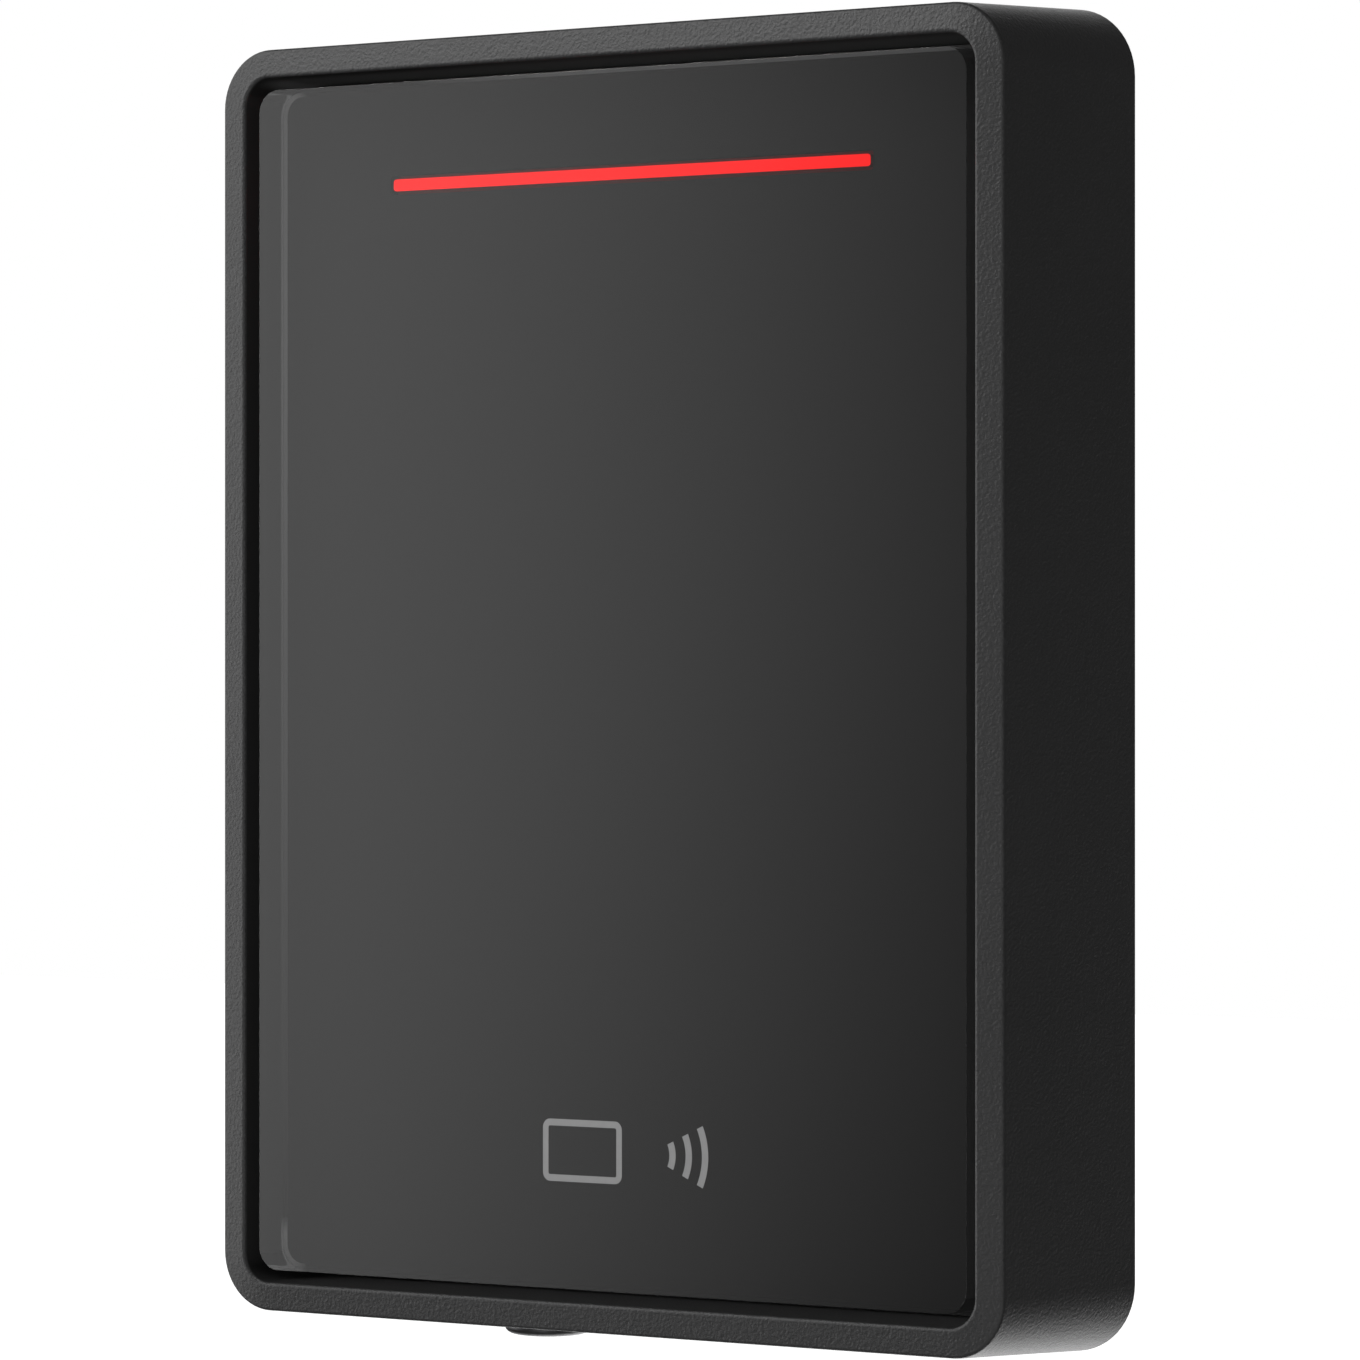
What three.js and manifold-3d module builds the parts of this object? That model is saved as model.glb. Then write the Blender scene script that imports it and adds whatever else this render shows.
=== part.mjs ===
// Wall-mounted RFID card reader, portrait format, hung on a wall plate.
//
// Units are millimetres and +Z is up. The wall is the plane y = 0 and the reader
// faces -Y. The origin is on the back face of the wall plate, level with the
// middle of the housing's outline.
//
// The reader hangs on two hooks at the top of the wall plate and swings about
// them. A locking screw under the bottom edge holds the foot of the housing.

import * as THREE from 'three';
import { mergeVertices } from 'three/addons/utils/BufferGeometryUtils.js';
import Module from 'manifold-3d';

// ---------------------------------------------------------------- dimensions

// housing outline at the front; the sides flare toward the wall by DRAFT
const WIDTH = 87.12;           // across, X
const HEIGHT = 118.0;          // Z
const CORNER_R = 5.4;
const FRONT_Y = -22.12;        // outer edge of the rim
const RIM_SLOPE = 8.5;         // degrees the rim rises from there to the recess
const REAR_Y = -1.8;           // rear edge, clear of the wall
const DRAFT = 0.93;            // extra on each side at the rear edge
const EDGE_R = 0.35;           // rounding of the rim's outer edge
const WALL = 2.2;              // side wall at the rear

// front recess that the clear cover sits in
const RECESS_W = 81.36;
const RECESS_H = 112.6;
const RECESS_R = 2.7;
const LEDGE_Y0 = -12.0;        // front of the ledge
const LEDGE_Y1 = -10.8;        // back of the ledge
const LEDGE_X = 33.0;          // half width of the opening in the ledge
const LEDGE_Z0 = -46.0;
const LEDGE_Z1 = 49.0;

// rear chamber, its step and the lower bay
const STEP_Y = -7.5;
const CHAMBER_X = 39.9;
const CHAMBER_Z0 = -47.2;
const CHAMBER_Z1 = 55.4;
const REAR_X = WIDTH / 2 - WALL - 0.06;
const REAR_Z = HEIGHT / 2 - WALL;
const DIVIDER_Z0 = -50.0;
const DIVIDER_Z1 = -48.6;
const DIVIDER_Y = -5.3;

// clear cover
const LENS_W = 79.02;
const LENS_H = 110.4;
const LENS_R = 2.2;
const LENS_Y0 = -21.8;         // front face, a little under the rim
const LENS_Y1 = -15.25;        // back face, so the cover is 6.55 mm thick
const LENS_EDGE = 0.3;         // rounding of its edges

// mask plate behind the cover
const MASK_W = 78.6;
const MASK_H = 109.8;
const MASK_R = 2.0;
const MASK_Y0 = -14.85;
const MASK_Y1 = -13.2;

// light bar
const BAR_W = 53.3;
const BAR_H = 1.1;
const BAR_Z = 46.05;
const LED_X = [-22.5, -13.5, -4.5, 4.5, 13.5, 22.5];

// boards
const COIL_Y0 = -12.9, COIL_Y1 = -12.6;
const ANT_Y0 = -12.3, ANT_Y1 = -11.7;
const FERRITE_Y0 = -11.4, FERRITE_Y1 = -11.1;
const BOARD_Y0 = -10.5, BOARD_Y1 = -9.3;
const PART_Y = -9.0;           // front of the parts on the back of the board

// rear cover
const COVER_Y0 = -6.6, COVER_Y1 = -5.3;
const BOSS_X = 36.6;
const BOSS_ZT = 51.9;
const BOSS_ZB = -43.6;

// wall plate
const PLATE_X = 40.2;
const PLATE_Z0 = -55.6;
const PLATE_Z1 = 54.8;
const PLATE_Y = -2.0;
const CABLE_X = 18.0;          // half width of the cable opening
const CABLE_Z0 = -33.0;
const CABLE_Z1 = -5.0;
const HOOK_X = 24.0;

// terminal block
const TERM_Z = -19.0;
const TERM_Y1 = -3.0;
const TERM_PITCH = 2.54;

// locking screw
const LOCK_X = -16.75;
const LOCK_Y = -6.9;

// tamper plunger
const TAMPER_X = 28.0;
const TAMPER_Z = -34.0;

// ------------------------------------------------------------------ materials

const mat = (color, roughness, metalness = 0, extra = {}) =>
  new THREE.MeshStandardMaterial({ color, roughness, metalness, ...extra });

const M = {
  housing: () => mat(0x1b1b1c, 0.62),
  lens: () => mat(0x2a2a2b, 0.06, 0, { transparent: true, opacity: 0.35 }),
  mask: () => mat(0x161617, 0.5),
  guide: () => mat(0xff3232, 0.3, 0, { emissive: 0xff2222 }),
  rubber: () => mat(0x151515, 0.85),
  pcb: () => mat(0x1d4a2c, 0.45),
  copper: () => mat(0xb87346, 0.35, 1),
  ferrite: () => mat(0x33353a, 0.7),
  led: () => mat(0xf2efe2, 0.4),
  tin: () => mat(0xb9bcc0, 0.3, 1),
  chip: () => mat(0x141416, 0.55),
  rear: () => mat(0x1c1c1e, 0.6),
  screw: () => mat(0x8f9296, 0.35, 1),
  darkscrew: () => mat(0x2b2b2d, 0.4, 0.9),
  terminal: () => mat(0x2c6b3c, 0.5),
  button: () => mat(0xd9671d, 0.5),
  plate: () => mat(0x232325, 0.6),
  brass: () => mat(0xb08d4a, 0.35, 1),
  vent: () => mat(0xe8e8e6, 0.8),
  plunger: () => mat(0xe4e2da, 0.5),
};

// -------------------------------------------------------------------- solids

const wasm = await Module();
wasm.setup();

// A closed geometry becomes a solid that can be cut and joined.
function solid(geometry) {
  const g = geometry.clone();
  g.deleteAttribute('normal');
  g.deleteAttribute('uv');
  const m = mergeVertices(g, 1e-4);
  return new wasm.Manifold(new wasm.Mesh({
    numProp: 3,
    vertProperties: new Float32Array(m.attributes.position.array),
    triVerts: new Uint32Array(m.index.array),
  }));
}

function geometryOf(manifold) {
  const mesh = manifold.getMesh();
  const g = new THREE.BufferGeometry();
  g.setAttribute('position', new THREE.BufferAttribute(new Float32Array(mesh.vertProperties), 3));
  g.setIndex(new THREE.BufferAttribute(new Uint32Array(mesh.triVerts), 1));
  g.computeVertexNormals();
  return g;
}

const cut = (base, ...tools) => tools.reduce((a, t) => a.subtract(solid(t)), base);
const join = (base, ...adds) => adds.reduce((a, t) => a.add(solid(t)), base);

// Rounded rectangle between two corners of the X-Z plane.
function roundRect(x0, x1, z0, z1, r) {
  const s = new THREE.Shape();
  s.moveTo(x0 + r, z0);
  s.lineTo(x1 - r, z0);
  s.absarc(x1 - r, z0 + r, r, -Math.PI / 2, 0, false);
  s.lineTo(x1, z1 - r);
  s.absarc(x1 - r, z1 - r, r, 0, Math.PI / 2, false);
  s.lineTo(x0 + r, z1);
  s.absarc(x0 + r, z1 - r, r, Math.PI / 2, Math.PI, false);
  s.lineTo(x0, z0 + r);
  s.absarc(x0 + r, z0 + r, r, Math.PI, Math.PI * 1.5, false);
  return s;
}

function polygon(points) {
  const s = new THREE.Shape();
  s.moveTo(points[0][0], points[0][1]);
  for (const p of points.slice(1)) s.lineTo(p[0], p[1]);
  return s;
}

// A shape of the X-Z plane made solid from y0 to y1.
function slab(shape, y0, y1, segments = 6) {
  const g = new THREE.ExtrudeGeometry(shape, {
    depth: y1 - y0, bevelEnabled: false, curveSegments: segments,
  });
  return g.rotateX(Math.PI / 2).translate(0, y1, 0);
}

// The same with both faces' edges rounded by r.
function roundedSlab(shape, y0, y1, r, segments = 6, steps = 2) {
  const g = new THREE.ExtrudeGeometry(shape, {
    depth: y1 - y0 - 2 * r, bevelEnabled: true, bevelThickness: r,
    bevelSize: r, bevelOffset: -r, bevelSegments: steps, curveSegments: segments,
  });
  return g.rotateX(Math.PI / 2).translate(0, y1 - r, 0);
}

// Points of a rounded rectangle centred on the Y axis, grown outward by d.
function outlineAt(halfW, halfH, r, d, y, n = 10) {
  const pts = [];
  const corners = [[1, 1, 0], [-1, 1, 90], [-1, -1, 180], [1, -1, 270]];
  for (const [sx, sz, start] of corners) {
    for (let k = 0; k <= n; k++) {
      const a = THREE.MathUtils.degToRad(start + 90 * k / n);
      pts.push([sx * (halfW - r) + (r + d) * Math.cos(a), y, sz * (halfH - r) + (r + d) * Math.sin(a)]);
    }
  }
  return pts;
}

// Skin over a row of such outlines, closed at both ends.
function loft(rows) {
  const n = rows[0].length;
  const pos = rows.flat(2);
  const index = [];
  for (let j = 0; j + 1 < rows.length; j++) {
    for (let i = 0; i < n; i++) {
      const a = j * n + i, b = j * n + (i + 1) % n;
      index.push(a, b + n, b, a, a + n, b + n);
    }
  }
  const last = (rows.length - 1) * n;
  for (let i = 1; i + 1 < n; i++) {
    index.push(0, i, i + 1, last, last + i + 1, last + i);
  }
  const g = new THREE.BufferGeometry();
  g.setAttribute('position', new THREE.BufferAttribute(new Float32Array(pos), 3));
  g.setIndex(index);
  return g;
}

// Rectangle centred on (x, z), made solid from y0 to y1.
function block(x, z, w, h, y0, y1, r = 0) {
  if (r > 0) return slab(roundRect(x - w / 2, x + w / 2, z - h / 2, z + h / 2, r), y0, y1, 3);
  return new THREE.BoxGeometry(w, y1 - y0, h).translate(x, (y0 + y1) / 2, z);
}

// Round bar along Y.
const barY = (x, z, r, y0, y1, n = 20) =>
  new THREE.CylinderGeometry(r, r, y1 - y0, n).translate(x, (y0 + y1) / 2, z);

// Round bar along Z.
const barZ = (x, y, r, z0, z1, n = 20) =>
  new THREE.CylinderGeometry(r, r, z1 - z0, n).rotateX(Math.PI / 2).translate(x, y, (z0 + z1) / 2);

// Slot with round ends in the X-Z plane, length along X or Z.
function slot(x, z, length, r, y0, y1, alongX = true) {
  const w = alongX ? length : 2 * r;
  const h = alongX ? 2 * r : length;
  return slab(roundRect(x - w / 2, x + w / 2, z - h / 2, z + h / 2, r - 0.001), y0, y1, 4);
}

const group = new THREE.Group();

function piece(name, shape, material, parent = group) {
  const g = shape.isBufferGeometry ? shape : geometryOf(shape);
  const mesh = new THREE.Mesh(g, material);
  mesh.name = name;
  parent.add(mesh);
  return mesh;
}

// ---------------------------------------------------------------- wall plate

{
  let s = solid(slab(roundRect(-PLATE_X, PLATE_X, PLATE_Z0, PLATE_Z1, 3.0), PLATE_Y, 0));
  // two hooks that stand forward and turn up behind the housing's top wall
  for (const sx of [-1, 1]) {
    s = join(s,
      block(sx * HOOK_X, 53.3, 12, 1.4, -5.1, PLATE_Y + 0.5),
      block(sx * HOOK_X, 54.3, 12, 3.4, -5.1, -4.2));
  }
  // shelf at the bottom that carries the threaded insert
  s = join(s,
    block(LOCK_X, -54.3, 14, 2.2, -10.4, PLATE_Y + 0.5),
    barZ(LOCK_X, LOCK_Y, 3.45, -55.4, -50.6, 24),
    block(LOCK_X - 6.2, -51.9, 1.6, 3.0, -6.5, PLATE_Y + 0.5),
    block(LOCK_X + 6.2, -51.9, 1.6, 3.0, -6.5, PLATE_Y + 0.5));
  // stiffening beads beside the cable opening
  s = join(s,
    block(-24.5, -17, 1.6, 26, -3.0, PLATE_Y + 0.5),
    block(24.5, -17, 1.6, 26, -3.0, PLATE_Y + 0.5));
  s = cut(s,
    barZ(LOCK_X, LOCK_Y, 2.75, -57, -49, 24),
    slab(roundRect(-CABLE_X, CABLE_X, CABLE_Z0, CABLE_Z1, 3.0), -4, 1),
    slot(0, 41.65, 10, 2.2, -4, 1, true),
    slot(0, -41.65, 10, 2.2, -4, 1, true),
    slot(-30.15, 0, 10, 2.2, -4, 1, false),
    slot(30.15, 0, 10, 2.2, -4, 1, false));
  piece('wall_plate', s, M.plate());

  let t = solid(barZ(LOCK_X, LOCK_Y, 2.4, -55.4, -50.4, 24));
  t = cut(t, barZ(LOCK_X, LOCK_Y, 1.65, -57, -49, 20));
  piece('thread_insert', t, M.brass());
}

// ------------------------------------------------------------- locking screw

{
  let w = solid(barZ(LOCK_X, LOCK_Y, 4.2, -58.8, -58.3, 28));
  w = cut(w, barZ(LOCK_X, LOCK_Y, 1.65, -60, -57, 20));
  piece('screw_washer', w, M.screw());

  // domed head, shank and a six-sided socket under the head
  const r = 1.35;
  const profile = [
    [0, -61.2], [2.3, -61.2], [3.3, -61.08], [3.95, -60.8], [4.1, -60.45], [4.1, -59.1],
    [r, -59.1], [r, -51.2], [r - 0.35, -50.8], [0, -50.8],
  ].map(([x, z]) => new THREE.Vector2(x, z));
  let s = solid(new THREE.LatheGeometry(profile, 28).rotateX(Math.PI / 2).translate(LOCK_X, LOCK_Y, 0));
  s = cut(s, new THREE.CylinderGeometry(1.5, 1.5, 1.6, 6).rotateX(Math.PI / 2).translate(LOCK_X, LOCK_Y, -61.0));
  piece('locking_screw', s, M.darkscrew());
}

// ------------------------------------------------------------------- housing

{
  const halfW = WIDTH / 2, halfH = HEIGHT / 2;
  // outside, rounded along the front edge and drafted from there to the rear edge
  const rows = [];
  const slope = THREE.MathUtils.degToRad(RIM_SLOPE);
  const inner = (WIDTH - RECESS_W) / 2 + 0.3;
  rows.push(outlineAt(halfW, halfH, CORNER_R, -inner, FRONT_Y - (inner - EDGE_R) * Math.tan(slope)));
  for (let k = 0; k <= 3; k++) {
    const a = slope + (Math.PI / 2 - slope) * k / 3;
    rows.push(outlineAt(halfW, halfH, CORNER_R, -EDGE_R * (1 - Math.sin(a)), FRONT_Y + EDGE_R * (1 - Math.cos(a))));
  }
  rows.push(outlineAt(halfW, halfH, CORNER_R, DRAFT, REAR_Y));
  let s = solid(loft(rows));
  s = cut(s,
    // front recess
    slab(roundRect(-RECESS_W / 2, RECESS_W / 2, -RECESS_H / 2, RECESS_H / 2, RECESS_R), FRONT_Y - 1, LEDGE_Y0, 6),
    // opening in the ledge
    slab(roundRect(-LEDGE_X, LEDGE_X, LEDGE_Z0, LEDGE_Z1, 2.0), LEDGE_Y0 - 1, LEDGE_Y1 + 1, 3),
    // electronics chamber, its step for the cover gasket, the lower bay, and the rear
    slab(roundRect(-CHAMBER_X, CHAMBER_X, CHAMBER_Z0, CHAMBER_Z1, 2.0), LEDGE_Y1, 1, 3),
    slab(roundRect(-REAR_X, REAR_X, DIVIDER_Z1, REAR_Z, 2.9), STEP_Y, 1, 4),
    slab(roundRect(-REAR_X, REAR_X, -REAR_Z, DIVIDER_Z0, 2.5), LEDGE_Y1, 1, 4),
    slab(roundRect(-REAR_X, REAR_X, -REAR_Z, REAR_Z, 3.2), DIVIDER_Y, 1, 5));
  // posts for the rear cover's screws, and the bar that hangs on the hooks
  for (const sx of [-1, 1]) {
    for (const z of [BOSS_ZT, BOSS_ZB]) {
      s = join(s, barY(sx * BOSS_X, z, 2.8, LEDGE_Y1 - 0.5, COVER_Y0 - 0.3, 20));
    }
  }
  s = join(s, block(0, 56.0, 66, 2.2, -3.6, -2.4));
  for (const sx of [-1, 1]) {
    for (const z of [BOSS_ZT, BOSS_ZB]) s = cut(s, barY(sx * BOSS_X, z, 1.1, -10.9, -6, 14));
    for (const z of [36, -30]) s = cut(s, barY(sx * 35.6, z, 1.1, LEDGE_Y0 - 1, LEDGE_Y1 + 1, 14));
  }
  // rear-open slot for the locking screw, and the shallow channel for its washer
  const u = (r, y1) => {
    const p = new THREE.Shape();
    p.moveTo(LOCK_X - r, 5);
    p.lineTo(LOCK_X - r, LOCK_Y);
    p.absarc(LOCK_X, LOCK_Y, r, Math.PI, Math.PI * 2, false);
    p.lineTo(LOCK_X + r, 5);
    return p;
  };
  const upright = (shape, z0, z1) => new THREE.ExtrudeGeometry(shape, {
    depth: z1 - z0, bevelEnabled: false, curveSegments: 12,
  }).translate(0, 0, z0);
  s = cut(s, upright(u(1.7), -62, -55), upright(u(4.7), -62, -58.0));
  piece('front_housing', s, M.housing());
}

// --------------------------------------------------------------- clear cover

{
  const w = LENS_W / 2, h = LENS_H / 2;
  piece('window_lens', roundedSlab(roundRect(-w, w, -h, h, LENS_R), LENS_Y0, LENS_Y1, LENS_EDGE, 6, 2), M.lens());
}

{
  const w = MASK_W / 2, h = MASK_H / 2;
  let s = solid(slab(roundRect(-w, w, -h, h, MASK_R), MASK_Y0, MASK_Y1, 5));
  s = cut(s, block(0, BAR_Z, BAR_W + 0.7, BAR_H + 0.7, MASK_Y0 - 1, MASK_Y1 + 1, 0.4));
  piece('mask_plate', s, M.mask());

  let g = solid(block(0, BAR_Z, BAR_W, BAR_H, MASK_Y0, MASK_Y1 + 0.5, 0.3));
  g = join(g, block(0, BAR_Z, BAR_W + 1.6, 2.6, MASK_Y1 + 0.3, -11.8, 0.4));
  piece('light_guide', g, M.guide());

  let e = solid(slab(roundRect(-39.2, 39.2, -54.7, 54.7, 2.0), MASK_Y1 + 0.3, LEDGE_Y0 - 0.3, 4));
  e = cut(e, slab(roundRect(-35.2, 35.2, -50.7, 50.7, 1.0), MASK_Y1 - 1, LEDGE_Y0 + 1, 3));
  piece('lens_seal', e, M.rubber());
}

// -------------------------------------------------------------- antenna stack

{
  // flat rectangular coil, one strip wound inward
  const turns = 4, w = 1.1, step = 1.9;
  const x0 = 29.6, zT = 38.0, zB = -41.0;
  const line = [[-x0 + 4, zB]];
  let a = x0, t = zT, b = zB;
  line.push([a, b]);
  for (let i = 0; i < turns; i += 1) {
    line.push([a, t]);
    line.push([-a, t]);
    b += step;
    line.push([-a, b]);
    a -= step;
    t -= step;
    line.push([a, b]);
  }
  line.pop();
  const left = [], right = [];
  for (let i = 0; i < line.length; i += 1) {
    const p = line[i];
    const d0 = i > 0 ? dir(line[i - 1], p) : dir(p, line[i + 1]);
    const d1 = i < line.length - 1 ? dir(p, line[i + 1]) : d0;
    const n0 = [-d0[1], d0[0]], n1 = [-d1[1], d1[0]];
    const straight = Math.abs(d0[0] * d1[0] + d0[1] * d1[1]) > 0.5;
    const n = straight ? n0 : [n0[0] + n1[0], n0[1] + n1[1]];
    left.push([p[0] + n[0] * w / 2, p[1] + n[1] * w / 2]);
    right.push([p[0] - n[0] * w / 2, p[1] - n[1] * w / 2]);
  }
  function dir(p, q) {
    const l = Math.hypot(q[0] - p[0], q[1] - p[1]);
    return [(q[0] - p[0]) / l, (q[1] - p[1]) / l];
  }
  piece('antenna_coil', slab(polygon([...left, ...right.reverse()]), COIL_Y0, COIL_Y1), M.copper());
  piece('antenna_board', slab(roundRect(-31.6, 31.6, -43, 40.6, 1.0), ANT_Y0, ANT_Y1, 2), M.pcb());
  piece('ferrite_sheet', slab(roundRect(-30, 30, -33.5, 39, 1.0), FERRITE_Y0, FERRITE_Y1, 2), M.ferrite());
  piece('antenna_header', block(0, -38.5, 9, 2.4, ANT_Y1 + 0.3, BOARD_Y0 - 0.3), M.chip());
}

// ---------------------------------------------------------------- main board

{
  const x = 38.6, zb = -46.4, zt = 54.4, c = 6.2;
  let s = solid(slab(polygon([
    [-x + c, zb], [x - c, zb], [x - c, zb + c], [x, zb + c], [x, zt - c], [x - c, zt - c],
    [x - c, zt], [-x + c, zt], [-x + c, zt - c], [-x, zt - c], [-x, zb + c], [-x + c, zb + c],
  ]), BOARD_Y0, BOARD_Y1));
  for (const sx of [-1, 1]) for (const z of [36, -30]) s = cut(s, barY(sx * 35.6, z, 1.15, -12, -8, 14));
  piece('main_board', s, M.pcb());

  let n = 1;
  for (const z of [36, -30]) {
    for (const sx of [-1, 1]) {
      let b = solid(barY(sx * 35.6, z, 1.9, BOARD_Y1 + 0.3, BOARD_Y1 + 1.6, 16));
      b = join(b, barY(sx * 35.6, z, 0.8, -11.7, BOARD_Y1 + 0.6, 12));
      b = cut(b, block(sx * 35.6, z, 2.2, 0.5, BOARD_Y1 + 1.0, 0), block(sx * 35.6, z, 0.5, 2.2, BOARD_Y1 + 1.0, 0));
      piece(`board_screw_${n}`, b, M.screw());
      n += 1;
    }
  }

  LED_X.forEach((lx, i) => {
    let l = solid(block(lx, BAR_Z, 3.2, 1.6, -11.5, BOARD_Y0 - 0.3));
    l = cut(l, block(lx, BAR_Z, 2.2, 1.0, -12, -11.3));
    piece(`led_${i + 1}`, l, M.led());
  });

  // parts on the back of the board
  let can = solid(roundedSlab(roundRect(-33, -9, 16, 34, 1.0), PART_Y, -7.2, 0.3, 2, 1));
  for (const cx of [-27, -21, -15]) can = cut(can, barY(cx, 29, 0.6, -7.6, -6, 10));
  piece('shield_can', can, M.tin());

  let chip = solid(block(13, 27, 9, 9, PART_Y, -7.9));
  chip = cut(chip, barY(9.9, 30.1, 0.5, -8.05, -7, 10));
  piece('controller_chip', chip, M.chip());

  piece('power_inductor', roundedSlab(roundRect(22, 29, 10, 17, 1.2), PART_Y, -7.1, 0.3, 2, 1), M.ferrite());

  let buz = solid(barY(25, -16, 5.2, PART_Y, -7.0, 24));
  buz = cut(buz, barY(25, -16, 1.1, -7.8, -6, 12));
  piece('buzzer', buz, M.chip());

  let sw = solid(block(TAMPER_X, TAMPER_Z, 6, 6, PART_Y, -8.6, 0.6));
  piece('tamper_switch', sw, M.tin());
}

// ---------------------------------------------------------------- rear cover

{
  let g = solid(slab(roundRect(-41.0, 41.0, -48.3, 56.5, 2.6), STEP_Y + 0.3, COVER_Y0 - 0.3, 4));
  g = cut(g, slab(roundRect(-39.7, 39.7, -47.0, 55.2, 1.5), -9, -6, 3));
  piece('cover_gasket', g, M.rubber());

  let s = solid(slab(roundRect(-41.0, 41.0, -48.3, 56.5, 2.6), COVER_Y0, COVER_Y1, 4));
  // stiffening ribs on the outside
  s = join(s, block(0, 22, 60, 1.2, COVER_Y1 - 0.5, COVER_Y1 + 0.9), block(0, -44.5, 40, 1.2, COVER_Y1 - 0.5, COVER_Y1 + 0.9));
  s = cut(s,
    block(0, TERM_Z, 26.6, 13.6, -9, -4, 1.4),
    barY(TAMPER_X, TAMPER_Z, 1.55, -9, -4, 18),
    barY(-28, 38, 1.5, -9, -4, 14));
  for (const sx of [-1, 1]) for (const z of [BOSS_ZT, BOSS_ZB]) s = cut(s, barY(sx * BOSS_X, z, 1.3, -9, -4, 16));
  piece('rear_cover', s, M.rear());

  let n = 1;
  for (const z of [BOSS_ZT, BOSS_ZB]) {
    for (const sx of [-1, 1]) {
      let b = solid(barY(sx * BOSS_X, z, 2.2, COVER_Y1 + 0.3, COVER_Y1 + 1.6, 18));
      b = join(b, barY(sx * BOSS_X, z, 0.8, -10.4, COVER_Y1 + 0.6, 12));
      b = cut(b, new THREE.CylinderGeometry(1.1, 1.1, 2, 6).translate(sx * BOSS_X, COVER_Y1 + 1.9, z));
      piece(`cover_screw_${n}`, b, M.screw());
      n += 1;
    }
  }

  piece('vent_membrane', barY(-28, 38, 3.4, COVER_Y1 + 0.3, COVER_Y1 + 0.7, 20), M.vent());

  let e = solid(block(0, TERM_Z, 26.0, 13.0, -7.0, -5.0, 1.2));
  e = cut(e, block(0, TERM_Z, 22.9, 9.9, -9, -4));
  piece('terminal_seal', e, M.rubber());
}

// ------------------------------------------------------------ terminal block

{
  const w = 22.2, h = 9.2;
  let s = solid(block(0, TERM_Z, w, h, PART_Y, TERM_Y1));
  for (let i = 0; i < 8; i += 1) {
    const x = (i - 3.5) * TERM_PITCH;
    s = cut(s,
      // wire entry
      block(x, TERM_Z - 2.5, 1.7, 1.9, -8.2, 0),
      // well of the release button
      block(x, TERM_Z + 1.5, 1.94, 3.4, -8.2, 0));
  }
  piece('terminal_block', s, M.terminal());
  for (let i = 0; i < 8; i += 1) {
    const x = (i - 3.5) * TERM_PITCH;
    let b = solid(block(x, TERM_Z + 1.5, 1.34, 2.8, -6.4, -2.5));
    b = cut(b, block(x, TERM_Z + 1.5, 0.5, 1.8, -2.8, 0));
    piece(`terminal_button_${i + 1}`, b, M.button());
  }
}

// ------------------------------------------------------------- tamper plunger

{
  const profile = [
    [0, -8.3], [2.0, -8.3], [2.0, -7.8], [1.2, -7.8], [1.2, -3.3], [3.0, -3.3], [3.0, -2.6], [2.7, -2.3], [0, -2.3],
  ].map(([x, y]) => new THREE.Vector2(x, y));
  piece('tamper_plunger', new THREE.LatheGeometry(profile, 20).translate(TAMPER_X, 0, TAMPER_Z), M.plunger());

  class Coil extends THREE.Curve {
    getPoint(t, target = new THREE.Vector3()) {
      const a = t * 2 * 2 * Math.PI;
      return target.set(2.1 * Math.cos(a), -4.78 + 0.96 * t, 2.1 * Math.sin(a));
    }
  }
  const wire = new THREE.Shape();
  wire.absarc(0, 0, 0.2, 0, Math.PI * 2, false);
  const spring = new THREE.ExtrudeGeometry(wire, {
    steps: 32, curveSegments: 3, bevelEnabled: false, extrudePath: new Coil(),
  });
  piece('tamper_spring', spring.translate(TAMPER_X, 0, TAMPER_Z), M.screw());
}

export default group;
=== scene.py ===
"""Looks of the wall-mounted card reader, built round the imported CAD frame. Metres, +Z up, wall at y = 0."""
import math

import bmesh
import bpy
from mathutils import Matrix, Vector


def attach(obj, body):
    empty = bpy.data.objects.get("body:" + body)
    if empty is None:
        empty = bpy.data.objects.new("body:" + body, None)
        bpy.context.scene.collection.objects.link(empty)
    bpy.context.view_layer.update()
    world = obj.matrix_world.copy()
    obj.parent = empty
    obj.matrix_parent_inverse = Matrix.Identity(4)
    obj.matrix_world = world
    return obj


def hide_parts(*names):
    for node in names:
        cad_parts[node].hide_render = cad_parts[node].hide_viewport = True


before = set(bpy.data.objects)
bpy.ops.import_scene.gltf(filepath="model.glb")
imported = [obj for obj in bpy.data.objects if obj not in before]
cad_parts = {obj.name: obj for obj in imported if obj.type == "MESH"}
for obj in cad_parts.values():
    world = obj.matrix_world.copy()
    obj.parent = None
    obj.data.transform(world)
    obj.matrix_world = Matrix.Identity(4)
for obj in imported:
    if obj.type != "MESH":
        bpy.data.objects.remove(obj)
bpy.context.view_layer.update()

MM = 0.001
scene = bpy.context.scene
scene.view_settings.view_transform = "Standard"
scene.view_settings.look = "None"

# The same sizes as the CAD model, in millimetres.
W, H, R = 87.12, 118.0, 5.4
FRONT, REAR, DRAFT = -22.12, -1.8, 0.93
SLOPE = math.radians(8.5)
EDGE_R, INNER_R = 0.35, 0.34
RECESS = (40.68, 56.3, 2.7)
LENS = (39.51, 55.2, 2.2)
LENS_Y = (-21.8, -15.25)
LENS_BACK_R = 0.38
MASK_FRONT = -14.85
LOCK = (-16.75, -6.9)


# ------------------------------------------------------------------ node help


def new_material(name):
    m = bpy.data.materials.new(name)
    m.use_nodes = True
    nt = m.node_tree
    nt.nodes.clear()
    out = nt.nodes.new("ShaderNodeOutputMaterial")
    return m, nt, out


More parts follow.
